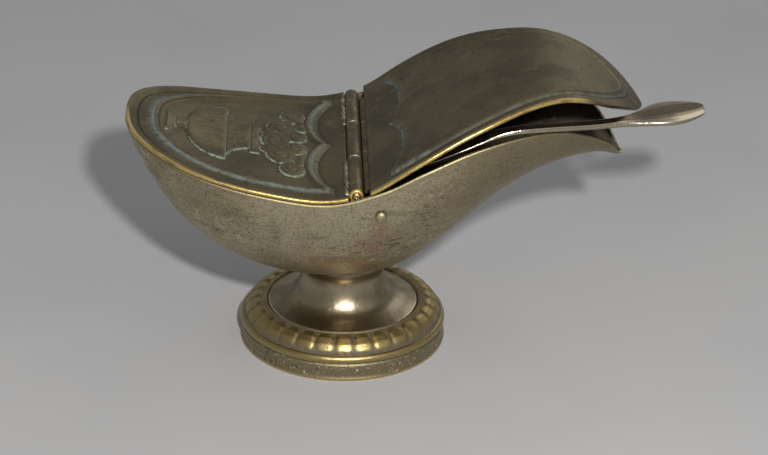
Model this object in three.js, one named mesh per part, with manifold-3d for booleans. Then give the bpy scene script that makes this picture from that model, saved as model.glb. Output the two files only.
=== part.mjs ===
// An incense boat: a boat-shaped bowl on a round foot, with a fixed cover over its stern, a hinged
// lid over its prow, and a loose spoon that lies across the near rim and holds the lid ajar.
// Millimetres, +Z up, +X towards the prow, +Y towards the far side. The shapes are laid out from the
// hinge axis (x = 0) and the table (z = 0). The last lines centre the finished group on its own box.

import * as THREE from 'three';
import { mergeVertices } from 'three/addons/utils/BufferGeometryUtils.js';
import Module from 'manifold-3d';

const wasm = await Module();
wasm.setup();

// ---------------------------------------------------------------- driving dimensions

const SHEET = 1.1; // thickness of the bowl and of both covers
const GAP = 0.3; // clearance between pieces that touch

// The bowl, as [distance from the hinge, value] points that a smooth curve runs through.
const BOWL_HALF_WIDTH = [
  [-72.1, 0], [-70.6, 12], [-65, 22.2], [-54, 31], [-38, 36.8], [-18, 40], [2, 41.4], [22, 40],
  [40, 36.2], [55, 30.9], [68, 24.2], [77, 16.5], [83, 8.3], [85.8, 0],
];
const BOWL_SHEER = [
  [-72.1, 79], [-50, 71.7], [-28, 67.3], [-9, 65.7], [8, 70.1], [20, 75.7], [35, 81.6], [50, 84.5],
  [63, 84.1], [73, 79.8], [80.5, 73.8], [85.8, 65.6],
];
const BOWL_KEEL = [
  [-72.1, 78.4], [-70, 72], [-64, 61.5], [-54, 47], [-40, 35.6], [-22, 28.9], [-3, 27.6], [14, 31.2],
  [30, 42.6], [44, 56], [56, 63.8], [67, 68], [76, 68.9], [82, 67], [85.8, 65],
];
const SECTION_POWER = 2.2; // 2 would be an ellipse, more is boxier
const TIP_TRIM = 0.15; // how far short of its own tip a tapering form stops
const TIP_HALF_WIDTH = 0.25; // its half width there
const HULL_RINGS = 30;
const ABOVE_RIM = 8; // how far a cutting form of the bowl's hollow runs on above the rim
const BOWL_CLEAR_Y = 50; // outside the bowl on both sides

// The lid, closed, in the same way. It reaches past the prow as a lip for the thumb.
const LID_HALF_WIDTH = [
  [2, 41.8], [22, 42.2], [40, 39.2], [55, 33.6], [68, 28.6], [76, 25.3], [82, 21.6], [87.5, 14.6],
  [91.2, 6.8], [92.6, 0],
];
const LID_SHEER = [
  [2, 67.6], [8, 69.7], [20, 75.3], [35, 81], [50, 84.2], [63, 84.7], [73, 81.9], [82, 76.5], [88, 71.4],
  [92.6, 66],
];
const LID_AJAR = THREE.MathUtils.degToRad(9.2); // how far the spoon holds the lid open

// The embossed step that runs round both covers.
const BORDER = 4.2;
const BORDER_RAMP = 1.6;
const BORDER_RISE = 0.8;

// The hinge: three short tubes on one pin, and the leaf that carries the middle one.
const HINGE_Z = 67.9;
const HINGE_HALF_LENGTH = 39.6;
const KNUCKLE_R = 2.3;
const KNUCKLE_BORE_R = 1.3;
const PIN_R = 1.2;
const CENTRE_KNUCKLE_HALF = 13.4;
const COVER_END_X = -KNUCKLE_R - GAP;
const LID_START_X = 4.3;
const LEAF_START_X = KNUCKLE_R + GAP;
const LEAF_END_X = 10;
const LEAF_HALF_LENGTH = 36;
const LEAF_SHEET = 0.9;

// The bar under the hinge, and the rivets that hold its ends to the bowl.
const RIVET_X = 7.6;
const RIVET_Z = 61.8;
const RIVET_SHANK_R = 0.9;
const RIVET_HEAD_R = 1.9;
const RIVET_HEAD_HEIGHT = 0.9;
const RIVET_TAIL_HEIGHT = 0.7; // the flattened end inside the bowl
const BAR_WIDTH = 8;
const BAR_TOP_Z = 64.8;
const BAR_SHEET = 1.2;
const BAR_TAB_DROP = 6;
const BAR_LEAN = 1.2; // how far the bowl's wall leans in over the height of a tab

// The stem and foot, turned about the axis x = FOOT_X.
const FOOT_X = -3;
const STEM_TOP_R = 14.6;
const STEM_NECK_R = 12.4;
const STEM_NECK_Z = 23.2;
const STEM_FLARE_R = 24.6;
const STEM_FLARE_Z = 12.6;
const STEM_WALL = 1.8;
const STEM_WEB_Z = 21;
const SEAT_TOP_Z = 32; // above the lowest part of the bowl, which is cut out of the stem's top
const FOOT_BAND_R = 33.3;
const FOOT_WALL = 1.8;
const ROLL_R = 1.6; // the half-round moulding above the foot's vertical band
const ROLL_Z = 7.6;
const BASE_LIP = 0.3;
const LEDGE_Z = 9.4; // underside of the ledge that the stem stands on
const LEDGE_R = 21;

// The screw, washer and nut that hold bowl, stem and foot together.
const SCREW_R = 2.5;
const SCREW_HEAD_R = 5.5;
const SCREW_HEAD_HEIGHT = 2.4;
const SCREW_END_Z = 3.2;
const WASHER_R = 26;
const WASHER_SHEET = 1.4;
const NUT_R = 4.9;
const NUT_HEIGHT = 3.2;

// The spoon's centre line, from the end of its handle to the tip of its scoop.
const SPOON_LINE = [
  [108.9, -10.9, 86.1], [98, -15.2, 85.6], [86, -20.1, 85.2], [75, -23.4, 85.2], [66, -26.1, 85.7],
  [58, -28.7, 86.3], [50, -30.6, 86.4], [43, -31.1, 85.2], [35, -30.6, 82.4],
  [26, -29.2, 78.4], [15, -27.6, 73.2],
];
// Half width, cup depth and thickness along it, as [share of the length, millimetres].
const SPOON_HALF_WIDTH = [
  [0, 0.8], [0.02, 4.6], [0.08, 7.1], [0.14, 7.2], [0.21, 4.6], [0.28, 2.4], [0.36, 1.9], [0.6, 1.8],
  [0.68, 2.1], [0.74, 3.7], [0.82, 5.9], [0.9, 6.2], [0.97, 4.2], [1, 0.8],
];
const SPOON_CUP = [[0, 0.1], [0.25, 0.1], [0.66, 0.1], [0.74, 1], [0.86, 2.7], [0.95, 1.7], [1, 0.3]];
const SPOON_THICKNESS = [
  [0, 1.6], [0.1, 2.8], [0.2, 2.8], [0.3, 2.3], [0.62, 2], [0.75, 1.2], [0.86, 0.9], [1, 0.9],
];

// ---------------------------------------------------------------- materials

const finish = (name, color, roughness, metalness = 1) =>
  new THREE.MeshStandardMaterial({ name, color, roughness, metalness });
const WORN_SILVER = finish('worn_silver', 0x8b8373, 0.42);
const DARK_BRONZE = finish('dark_bronze', 0x5c5340, 0.5);
const HINGE_BRASS = finish('hinge_brass', 0x6a5f45, 0.45);
const PIN_BRASS = finish('pin_brass', 0xa08a50, 0.4);
const FOOT_BRASS = finish('foot_brass', 0x8f7a45, 0.4);
const STEM_SILVER = finish('stem_silver', 0x958a7b, 0.3);
const SPOON_SILVER = finish('spoon_silver', 0x9a8d7c, 0.32);
const DULL_STEEL = finish('dull_steel', 0x6f6c66, 0.55);

// ---------------------------------------------------------------- shape helpers

/** Height of a smooth curve through [x, height] points, as a function of x. */
function curveThrough(points) {
  const spline = new THREE.SplineCurve(points.map(([x, y]) => new THREE.Vector2(x, y)));
  const samples = spline.getPoints(points.length * 24);
  return (x) => {
    const next = Math.max(1, samples.findIndex((s) => s.x >= x));
    const [a, b] = x > samples.at(-1).x ? samples.slice(-2) : [samples[next - 1], samples[next]];
    return THREE.MathUtils.mapLinear(THREE.MathUtils.clamp(x, a.x, b.x), a.x, b.x, a.y, b.y);
  };
}

const bowlHalfWidth = curveThrough(BOWL_HALF_WIDTH);
const bowlSheer = curveThrough(BOWL_SHEER);
const bowlKeel = curveThrough(BOWL_KEEL);
const lidHalfWidth = curveThrough(LID_HALF_WIDTH);
const lidSheer = curveThrough(LID_SHEER);

/** Evenly spaced numbers from a to b. */
function evenly(a, b, count) {
  return Array.from({ length: count }, (_, i) => THREE.MathUtils.lerp(a, b, i / (count - 1)));
}

/** Numbers from a to b, closer together at the start and the end that are named blunt. */
function stations(a, b, count, bluntStart = true, bluntEnd = true) {
  const angles = evenly(bluntStart ? -Math.PI / 2 : 0, bluntEnd ? Math.PI / 2 : 0, count);
  const low = Math.sin(angles[0]);
  const high = Math.sin(angles.at(-1));
  return angles.map((angle) => THREE.MathUtils.mapLinear(Math.sin(angle), low, high, a, b));
}

/** A closed body through rings of equally many points, with flat fans over the two ends.
 *  The rings run clockwise, seen by someone who looks from the first ring towards the last. */
function loft(rings) {
  const size = rings[0].length;
  const middle = (ring) => ring.reduce((sum, p) => sum.add(p), new THREE.Vector3()).divideScalar(size);
  const points = [...rings.flat(), middle(rings[0]), middle(rings.at(-1))];
  const startCentre = rings.length * size;
  const endCentre = startCentre + 1;
  const lastRing = (rings.length - 1) * size;
  const index = [];
  for (let j = 0; j < size; j += 1) {
    const k = (j + 1) % size;
    for (let base = 0; base < lastRing; base += size) {
      index.push(base + j, base + k, base + size + k);
      index.push(base + j, base + size + k, base + size + j);
    }
    index.push(startCentre, k, j);
    index.push(endCentre, lastRing + j, lastRing + k);
  }
  const geometry = new THREE.BufferGeometry().setFromPoints(points);
  geometry.setIndex(index);
  return geometry;
}

/** A closed geometry as a solid that can be cut and joined. */
function solid(geometry) {
  const bare = geometry.clone();
  bare.deleteAttribute('normal');
  bare.deleteAttribute('uv');
  const merged = mergeVertices(bare, 1e-5);
  return new wasm.Manifold(
    new wasm.Mesh({
      numProp: 3,
      vertProperties: new Float32Array(merged.attributes.position.array),
      triVerts: new Uint32Array(merged.index.array),
    }),
  );
}

/** A solid as a geometry. */
function surface(body) {
  const { vertProperties, triVerts } = body.getMesh();
  const geometry = new THREE.BufferGeometry();
  geometry.setAttribute('position', new THREE.BufferAttribute(vertProperties, 3));
  geometry.setIndex(new THREE.BufferAttribute(triVerts, 1));
  geometry.computeVertexNormals();
  return geometry;
}

/** A profile of [radius, z] points turned about the foot's axis. */
function turned(profile, segments = 36) {
  const geometry = new THREE.LatheGeometry(profile.map(([r, z]) => new THREE.Vector2(r, z)), segments);
  return geometry.rotateX(Math.PI / 2).translate(FOOT_X, 0, 0);
}

/** A round bar or tube along Y. Both radii start at the same facet, so a pin turns in its bore. */
function barAlongY(radius, fromY, toY, boreRadius = 0, segments = 24) {
  const outline = boreRadius
    ? [[boreRadius, fromY], [radius, fromY], [radius, toY], [boreRadius, toY], [boreRadius, fromY]]
    : [[0, fromY], [radius, fromY], [radius, toY], [0, toY]];
  return new THREE.LatheGeometry(outline.map(([r, y]) => new THREE.Vector2(r, y)), segments);
}

/** The rounded underside of a hull section, from the near rim (-Y) round the keel to the far one. */
function hullSection(x, halfWidth, topZ, bottomZ, steps = 18) {
  return Array.from({ length: steps + 1 }, (_, i) => {
    const angle = (Math.PI * i) / steps;
    const across = -Math.sign(Math.cos(angle)) * Math.abs(Math.cos(angle)) ** (2 / SECTION_POWER);
    const down = Math.sin(angle) ** (2 / SECTION_POWER);
    return new THREE.Vector3(x, halfWidth * across, topZ - (topZ - bottomZ) * down);
  });
}

/** How far the embossed step has risen at a point this far inside a cover's edge. */
function borderRise(inset) {
  return BORDER_RISE * THREE.MathUtils.smoothstep(inset, BORDER, BORDER + BORDER_RAMP);
}

/** A sheet that follows a sheer line, with the embossed step round all but its hinge edge. */
function coverSheet(xs, halfWidth, sheer, tipX, seat) {
  const steps = 16;
  const rings = xs.map((x) => {
    const height = (y) => {
      const fromSide = halfWidth(x) - Math.abs(y);
      return sheer(x) + seat + borderRise(Math.min(fromSide, Math.abs(tipX - x)));
    };
    const across = stations(-1, 1, steps).map((s) => s * Math.max(halfWidth(x), 0.4));
    const under = across.map((y) => new THREE.Vector3(x, y, height(y)));
    const over = across.map((y) => new THREE.Vector3(x, y, height(y) + SHEET));
    return [...under, ...over.reverse()];
  });
  return loft(rings);
}

// ---------------------------------------------------------------- bowl

/** The bowl's outer form, solid. grow moves its skin outwards, or inwards if it is negative. */
function bowlForm(grow, rimLift = 0) {
  const reach = Math.max(0, -grow) + TIP_TRIM;
  const xs = stations(BOWL_SHEER[0][0] + reach, BOWL_SHEER.at(-1)[0] - 2 * reach + TIP_TRIM, HULL_RINGS);
  return loft(
    xs.map((x) => {
      const halfWidth = Math.max(bowlHalfWidth(x) + grow, TIP_HALF_WIDTH);
      const rim = bowlSheer(x);
      const bottom = Math.min(bowlKeel(x) - grow, rim - 0.2);
      const under = hullSection(x, halfWidth, rim, bottom);
      const lift = new THREE.Vector3(0, 0, rimLift);
      return rimLift ? [...under, under.at(-1).clone().add(lift), under[0].clone().add(lift)] : under;
    }),
  );
}

/** What the tie screw's clearance hole takes away. */
const screwHole = () => turned([[0, 0], [SCREW_R + GAP, 0], [SCREW_R + GAP, HINGE_Z], [0, HINGE_Z]], 24);

/** What the two rivets' clearance holes take away, as one bar right across the bowl. */
const rivetHoles = () =>
  barAlongY(RIVET_SHANK_R + GAP, -BOWL_CLEAR_Y, BOWL_CLEAR_Y).translate(RIVET_X, 0, RIVET_Z);

function makeBowl() {
  const shell = solid(bowlForm(0)).subtract(solid(bowlForm(-SHEET, ABOVE_RIM)));
  return surface(shell.subtract(solid(screwHole())).subtract(solid(rivetHoles())));
}

// ---------------------------------------------------------------- covers

function makeSternCover() {
  const tipX = BOWL_SHEER[0][0];
  const halfWidth = (x) => bowlHalfWidth(x) + GAP;
  const xs = stations(tipX + 0.1, COVER_END_X, 20, true, false);
  return coverSheet(xs, halfWidth, bowlSheer, tipX, GAP);
}

function makeLid() {
  const tipX = LID_SHEER.at(-1)[0];
  const xs = stations(LID_START_X, tipX - 0.1, 24, false, true);
  return coverSheet(xs, lidHalfWidth, lidSheer, tipX, GAP).translate(0, 0, -HINGE_Z);
}

// ---------------------------------------------------------------- hinge

function makeLeaf() {
  const xs = evenly(LEAF_START_X, LEAF_END_X, 5);
  const rings = xs.map((x) => {
    const top = lidSheer(x) - HINGE_Z;
    const low = top - LEAF_SHEET;
    const corner = (side, z) => new THREE.Vector3(x, side * LEAF_HALF_LENGTH, z);
    return [corner(-1, low), corner(1, low), corner(1, top), corner(-1, top)];
  });
  return loft(rings);
}

const knuckle = (fromY, toY) => barAlongY(KNUCKLE_R, fromY, toY, KNUCKLE_BORE_R);

// ---------------------------------------------------------------- cross bar and rivets

/** A strap with both ends bent down, cut to the inside of the bowl. */
function makeCrossBar() {
  const reach = bowlHalfWidth(RIVET_X);
  const inside = reach - SHEET - BAR_SHEET - BAR_LEAN;
  const outline = new THREE.Shape();
  outline.moveTo(-reach, BAR_TOP_Z - BAR_TAB_DROP);
  outline.lineTo(-reach, BAR_TOP_Z);
  outline.lineTo(reach, BAR_TOP_Z);
  outline.lineTo(reach, BAR_TOP_Z - BAR_TAB_DROP);
  outline.lineTo(inside, BAR_TOP_Z - BAR_TAB_DROP);
  outline.lineTo(inside, BAR_TOP_Z - BAR_SHEET);
  outline.lineTo(-inside, BAR_TOP_Z - BAR_SHEET);
  outline.lineTo(-inside, BAR_TOP_Z - BAR_TAB_DROP);
  outline.closePath();
  const strip = new THREE.ExtrudeGeometry(outline, { depth: BAR_WIDTH, bevelEnabled: false });
  strip.rotateX(Math.PI / 2).rotateZ(Math.PI / 2).translate(RIVET_X - BAR_WIDTH / 2, 0, 0);
  const room = solid(bowlForm(-SHEET - GAP, ABOVE_RIM));
  return surface(solid(strip).intersect(room).subtract(solid(rivetHoles())));
}

/** A rivet through the wall on the side that sign gives, domed outside and flat inside. */
function makeRivet(sign) {
  const wall = bowlHalfWidth(RIVET_X);
  const inside = wall - SHEET - GAP - BAR_SHEET - BAR_LEAN;
  const outside = wall + GAP / 2;
  const tailR = RIVET_HEAD_R - 0.3;
  const dome = Array.from({ length: 6 }, (_, i) => {
    const angle = (Math.PI / 2) * (i / 5);
    return [RIVET_HEAD_R * Math.cos(angle), outside + RIVET_HEAD_HEIGHT * Math.sin(angle)];
  });
  const profile = [
    [0, inside - RIVET_TAIL_HEIGHT], [tailR, inside - RIVET_TAIL_HEIGHT], [tailR, inside],
    [RIVET_SHANK_R, inside], [RIVET_SHANK_R, outside], ...dome,
  ];
  profile.at(-1)[0] = 0;
  const rivet = new THREE.LatheGeometry(profile.map(([r, y]) => new THREE.Vector2(r, y)), 20);
  return (sign > 0 ? rivet : rivet.rotateX(Math.PI)).translate(RIVET_X, 0, RIVET_Z);
}

// ---------------------------------------------------------------- stem and foot

/** Points on the stem's hollow curve, offset inwards by wall. */
function stemCurve(wall) {
  const curve = new THREE.CubicBezierCurve(
    new THREE.Vector2(STEM_NECK_R - wall, STEM_NECK_Z),
    new THREE.Vector2(STEM_NECK_R - wall, STEM_NECK_Z - 5),
    new THREE.Vector2(STEM_NECK_R + 3.5 - wall, STEM_FLARE_Z + 2.2 - wall * 0.4),
    new THREE.Vector2(STEM_FLARE_R - wall * 0.6, STEM_FLARE_Z - wall * 0.4),
  );
  return curve.getPoints(9).map((p) => [p.x, p.y]);
}

function makeStem() {
  const seatZ = LEDGE_Z + FOOT_WALL + GAP;
  const outer = stemCurve(0).reverse();
  const inner = stemCurve(STEM_WALL);
  const profile = [
    [0, STEM_WEB_Z], [SCREW_HEAD_R, STEM_WEB_Z], ...inner.filter(([, z]) => z < STEM_WEB_Z),
    [STEM_FLARE_R - STEM_WALL, seatZ], [STEM_FLARE_R, seatZ], ...outer,
    [STEM_NECK_R + 0.2, STEM_NECK_Z + 1.6], [STEM_NECK_R + 1, STEM_NECK_Z + 3.2],
    [STEM_TOP_R, STEM_NECK_Z + 4.6],
    [STEM_TOP_R, SEAT_TOP_Z], [0, SEAT_TOP_Z],
  ];
  const blank = solid(turned(profile));
  const seat = solid(bowlForm(GAP));
  return surface(blank.subtract(solid(screwHole())).subtract(seat));
}

function makeFootRing() {
  const roll = Array.from({ length: 7 }, (_, i) => {
    const angle = Math.PI * (0.5 - i / 6);
    return [FOOT_BAND_R - 0.9 + ROLL_R * Math.cos(angle), ROLL_Z + ROLL_R * Math.sin(angle)];
  });
  const profile = [
    [LEDGE_R, LEDGE_Z], [LEDGE_R, LEDGE_Z + FOOT_WALL], [STEM_FLARE_R, LEDGE_Z + FOOT_WALL],
    [STEM_FLARE_R + GAP, STEM_FLARE_Z + 0.6], [STEM_FLARE_R + 1.4, STEM_FLARE_Z + 0.9],
    [28.6, 12.9], [31.4, 11.4], [32.8, 9.6],
    ...roll,
    [FOOT_BAND_R, 5.6], [FOOT_BAND_R, 1], [FOOT_BAND_R + BASE_LIP, 0.6], [FOOT_BAND_R + BASE_LIP, 0],
    [FOOT_BAND_R - FOOT_WALL - 0.7, 0], [FOOT_BAND_R - FOOT_WALL, 7], [29, LEDGE_Z],
    [LEDGE_R, LEDGE_Z],
  ];
  return turned(profile.reverse(), 44);
}

// ---------------------------------------------------------------- screw, washer and nut

function makeScrew() {
  const seatZ = BOWL_KEEL[6][1] + SHEET + GAP + 0.5;
  const dome = Array.from({ length: 5 }, (_, i) => {
    const angle = (Math.PI / 2) * (i / 4);
    return [SCREW_HEAD_R * Math.cos(angle), seatZ + 0.6 + SCREW_HEAD_HEIGHT * Math.sin(angle)];
  });
  dome.at(-1)[0] = 0;
  const profile = [
    [0, SCREW_END_Z], [SCREW_R, SCREW_END_Z], [SCREW_R, seatZ], [SCREW_HEAD_R, seatZ], ...dome,
  ];
  return turned(profile, 24);
}

function makeWasher() {
  const top = LEDGE_Z - GAP;
  const low = top - WASHER_SHEET;
  const hole = SCREW_R + GAP;
  return turned([[hole, low], [WASHER_R, low], [WASHER_R, top], [hole, top], [hole, low]], 40);
}

function makeNut() {
  const top = LEDGE_Z - 2 * GAP - WASHER_SHEET;
  const low = top - NUT_HEIGHT;
  const hole = SCREW_R + GAP;
  const hexagon = new THREE.CylinderGeometry(NUT_R, NUT_R, NUT_HEIGHT, 6);
  hexagon.rotateX(Math.PI / 2).translate(FOOT_X, 0, (top + low) / 2);
  const bore = turned([[0, low - 1], [hole, low - 1], [hole, top + 1], [0, top + 1]], 24);
  return surface(solid(hexagon).subtract(solid(bore)));
}

// ---------------------------------------------------------------- spoon

function makeSpoon() {
  const points = SPOON_LINE.map((p) => new THREE.Vector3(...p));
  const line = new THREE.CatmullRomCurve3(points, false, 'centripetal');
  const halfWidth = curveThrough(SPOON_HALF_WIDTH);
  const cup = curveThrough(SPOON_CUP);
  const thickness = curveThrough(SPOON_THICKNESS);
  const up = new THREE.Vector3(0, 0, 1);
  const across = stations(-1, 1, 9);
  const shares = [...stations(0, 0.2, 8, true, false), ...evenly(0.24, 0.7, 12),
    ...stations(0.73, 1, 14, false, true)];
  const rings = shares.map((t) => {
    const along = line.getTangentAt(t);
    const side = new THREE.Vector3().crossVectors(along, up).normalize();
    const lift = new THREE.Vector3().crossVectors(side, along).normalize();
    const place = (s, z) =>
      line.getPointAt(t).addScaledVector(side, s * halfWidth(t)).addScaledVector(lift, z);
    const dish = (s) => -cup(t) * (1 - s * s);
    const half = thickness(t) / 2;
    const belly = (s) => half * (0.35 + 0.65 * Math.sqrt(1 - s * s));
    const over = across.map((s) => place(s, dish(s) + half));
    const under = across.map((s) => place(s, dish(s) - belly(s)));
    return [...over, ...under.reverse()];
  });
  return loft(rings);
}

// ---------------------------------------------------------------- assembly

const group = new THREE.Group();

function add(name, geometry, material, parent = group) {
  const mesh = new THREE.Mesh(geometry, material);
  mesh.name = name;
  parent.add(mesh);
  return mesh;
}

add('bowl', makeBowl(), WORN_SILVER);
add('stern_cover', makeSternCover(), DARK_BRONZE);
add('cross_bar', makeCrossBar(), HINGE_BRASS);
add('rivet_near', makeRivet(-1), WORN_SILVER);
add('rivet_far', makeRivet(1), WORN_SILVER);
add('stem', makeStem(), STEM_SILVER);
add('foot_ring', makeFootRing(), FOOT_BRASS);
add('tie_screw', makeScrew(), DULL_STEEL);
add('tie_washer', makeWasher(), DULL_STEEL);
add('tie_nut', makeNut(), DULL_STEEL);
add('spoon', makeSpoon(), SPOON_SILVER);

const hinge = new THREE.Group();
hinge.position.z = HINGE_Z;
group.add(hinge);
const knuckleGap = CENTRE_KNUCKLE_HALF + GAP;
add('hinge_knuckle_near', knuckle(-HINGE_HALF_LENGTH, -knuckleGap), HINGE_BRASS, hinge);
add('hinge_knuckle_far', knuckle(knuckleGap, HINGE_HALF_LENGTH), HINGE_BRASS, hinge);
add('hinge_pin', barAlongY(PIN_R, -HINGE_HALF_LENGTH - GAP, HINGE_HALF_LENGTH + GAP), PIN_BRASS, hinge);

const lid = new THREE.Group();
lid.rotation.y = -LID_AJAR;
hinge.add(lid);
add('prow_lid', makeLid(), DARK_BRONZE, lid);
add('hinge_leaf', makeLeaf(), HINGE_BRASS, lid);
add('hinge_knuckle_centre', knuckle(-CENTRE_KNUCKLE_HALF, CENTRE_KNUCKLE_HALF), HINGE_BRASS, lid);

// The origin is on the table, at the middle of the whole object's box.
const box = new THREE.Box3().setFromObject(group, true);
const middle = box.getCenter(new THREE.Vector3());
group.position.set(-middle.x, -middle.y, -box.min.z);

export default group;
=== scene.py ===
import math
import random

import bpy
import numpy as np
from mathutils import Matrix, Vector


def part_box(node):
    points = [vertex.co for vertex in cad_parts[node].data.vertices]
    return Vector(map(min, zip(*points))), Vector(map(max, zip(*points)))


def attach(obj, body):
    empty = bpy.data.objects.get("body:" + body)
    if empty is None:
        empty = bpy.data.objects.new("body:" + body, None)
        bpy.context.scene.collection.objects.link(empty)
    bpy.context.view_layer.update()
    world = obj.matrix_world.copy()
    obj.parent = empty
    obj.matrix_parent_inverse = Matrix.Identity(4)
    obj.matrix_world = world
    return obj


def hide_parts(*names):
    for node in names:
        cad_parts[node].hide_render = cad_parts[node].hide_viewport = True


# An incense boat with its spoon: the fine surface, the patina, the light and the camera.
# Metres in the row frame. The shapes are laid out in millimetres from the hinge axis and the table,
# as the CAD's are, and row() turns them into the row frame.

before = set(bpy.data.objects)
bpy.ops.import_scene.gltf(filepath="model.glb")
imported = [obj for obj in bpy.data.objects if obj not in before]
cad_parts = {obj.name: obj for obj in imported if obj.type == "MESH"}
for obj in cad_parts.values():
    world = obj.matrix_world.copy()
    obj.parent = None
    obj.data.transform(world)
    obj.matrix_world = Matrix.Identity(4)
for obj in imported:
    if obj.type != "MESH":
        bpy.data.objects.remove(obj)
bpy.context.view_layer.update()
random.seed(7)

MM = 0.001
PIN_LOW, PIN_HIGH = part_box("hinge_pin")
HINGE_X = (PIN_LOW.x + PIN_HIGH.x) / 2
HINGE_Z = (PIN_LOW.z + PIN_HIGH.z) / 2 / MM
LID_AJAR = math.radians(9.2)

# ---------------------------------------------------------------- driving dimensions, in millimetres

SHEET = 1.1
GAP = 0.3
BOWL_HALF_WIDTH = [
    (-72.1, 0), (-70.6, 12), (-65, 22.2), (-54, 31), (-38, 36.8), (-18, 40), (2, 41.4), (22, 40),
    (40, 36.2), (55, 30.9), (68, 24.2), (77, 16.5), (83, 8.3), (85.8, 0),
]
BOWL_SHEER = [
    (-72.1, 79), (-50, 71.7), (-28, 67.3), (-9, 65.7), (8, 70.1), (20, 75.7), (35, 81.6), (50, 84.5),
    (63, 84.1), (73, 79.8), (80.5, 73.8), (85.8, 65.6),
]
BOWL_KEEL = [
    (-72.1, 78.4), (-70, 72), (-64, 61.5), (-54, 47), (-40, 35.6), (-22, 28.9), (-3, 27.6), (14, 31.2),
    (30, 42.6), (44, 56), (56, 63.8), (67, 68), (76, 68.9), (82, 67), (85.8, 65),
]
LID_HALF_WIDTH = [
    (2, 41.8), (22, 42.2), (40, 39.2), (55, 33.6), (68, 28.6), (76, 25.3), (82, 21.6), (87.5, 14.6),
    (91.2, 6.8), (92.6, 0),
]
LID_SHEER = [
    (2, 67.6), (8, 69.7), (20, 75.3), (35, 81), (50, 84.2), (63, 84.7), (73, 81.9), (82, 76.5),
    (88, 71.4), (92.6, 66),
]
SECTION_POWER = 2.2
TIP_TRIM = 0.15

HINGE_HALF_LENGTH = 39.6
KNUCKLE_R = 2.3
KNUCKLE_BORE_R = 1.3
KNUCKLE_GROOVE_IN = 1.3
KNUCKLE_GROOVE_DEPTH = 0.14
PIN_R = 1.2
NEEDLE_R = 0.01  # at the middle of a turned end
CENTRE_KNUCKLE_HALF = 13.4
COVER_END_X = -KNUCKLE_R - GAP
LID_START_X = 4.3

FOOT_X = -3
FOOT_R = 33.3
STEM_TOP_R = 14.6
STEM_FLARE_R = 24.6
SCREW_HOLE_R = 2.8
INSIDE_BOWL_Z = 60  # the stem's top is drawn up to here, then cut off by the bowl's underside
ROLL_R = 1.5
ROLL_Z = 7.1
GADROONS = 30
GADROON_INNER_R = 26.3
GADROON_OUTER_R = 32.1
GADROON_HEIGHT = 0.8

RIVET_X = 7.6
RIVET_Z = 61.8
RIVET_HEAD_R = 1.9
RIVET_HEAD_HEIGHT = 0.9
RIVET_SHANK_R = 0.9
RIVET_TAIL_R = 1.6
RIVET_TAIL_HEIGHT = 0.7

SPOON_LINE = [
    (108.9, -10.9, 86.1), (98, -15.2, 85.6), (86, -20.1, 85.2), (75, -23.4, 85.2), (66, -26.1, 85.7),
    (58, -28.7, 86.3), (50, -30.6, 86.4), (43, -31.1, 85.2), (35, -30.6, 82.4), (26, -29.2, 78.4),
    (15, -27.6, 73.2),
]
SPOON_HALF_WIDTH = [
    (0, 0.8), (0.02, 4.6), (0.08, 7.1), (0.14, 7.2), (0.21, 4.6), (0.28, 2.4), (0.36, 1.9), (0.6, 1.8),
    (0.68, 2.1), (0.74, 3.7), (0.82, 5.9), (0.9, 6.2), (0.97, 4.2), (1, 0.8),
]
MARK_DEPTH = 0.18
SPOON_CUP = [(0, 0.1), (0.25, 0.1), (0.66, 0.1), (0.74, 1), (0.86, 2.7), (0.95, 1.7), (1, 0.3)]
SPOON_THICKNESS = [
    (0, 1.6), (0.1, 2.8), (0.2, 2.8), (0.3, 2.3), (0.62, 2), (0.75, 1.2), (0.86, 0.9), (1, 0.9),
]

# ---------------------------------------------------------------- numbers and curves


def spline(points, per_span=24):
    """Samples of a smooth curve through the points, as rows."""
    p = np.array(points, float)
    t = np.linspace(0, 1, per_span, endpoint=False)[:, None]
    rows = []
    for i in range(len(p) - 1):
        a, b, c, d = p[max(i - 1, 0)], p[i], p[i + 1], p[min(i + 2, len(p) - 1)]
        v0, v1 = (c - a) / 2, (d - b) / 2
        rows.append((2 * b - 2 * c + v0 + v1) * t**3 + (3 * c - 3 * b - 2 * v0 - v1) * t**2 + v0 * t + b)
    return np.vstack([*rows, p[-1:]])


def curve_through(points):
    """Height of a smooth curve through (x, height) points, as a function of x."""
    s = spline(points)
    return lambda x: np.interp(x, s[:, 0], s[:, 1])


bowl_half_width = curve_through(BOWL_HALF_WIDTH)
bowl_sheer = curve_through(BOWL_SHEER)
bowl_keel = curve_through(BOWL_KEEL)
lid_half_width = curve_through(LID_HALF_WIDTH)
lid_sheer = curve_through(LID_SHEER)


def stations(a, b, count, blunt_start=True, blunt_end=True):
    """Numbers from a to b, closer together at the start and the end that are named blunt."""
    angles = np.linspace(-math.pi / 2 if blunt_start else 0, math.pi / 2 if blunt_end else 0, count)
    s = np.sin(angles)
    return a + (b - a) * (s - s[0]) / (s[-1] - s[0])


def step(value, low, high):
    """0 below low, 1 above high, and smooth between them."""
    t = np.clip((value - low) / (high - low), 0, 1)
    return t * t * (3 - 2 * t)


def ridge(value, middle, half_width):
    """A rounded ridge of height 1 at middle."""
    return np.clip(1 - ((value - middle) / half_width) ** 2, 0, 1) ** 1.5


def ripple(x, y, size, seed):
    """Slow unevenness between about -1 and 1, with waves of roughly that size."""
    rng = np.random.default_rng(seed)
    total = 0
    for _ in range(6):
        angle, phase = rng.uniform(0, 2 * math.pi, 2)
        k = 2 * math.pi / (size * rng.uniform(0.7, 1.6))
        total = total + np.sin(k * (x * math.cos(angle) + y * math.sin(angle)) + phase)
    return total / 4


def row(points):
    """Millimetres from the hinge axis and the table, as metres in the row frame."""
    return np.asarray(points, float) * MM + (HINGE_X, 0, 0)


# ---------------------------------------------------------------- meshes


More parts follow.
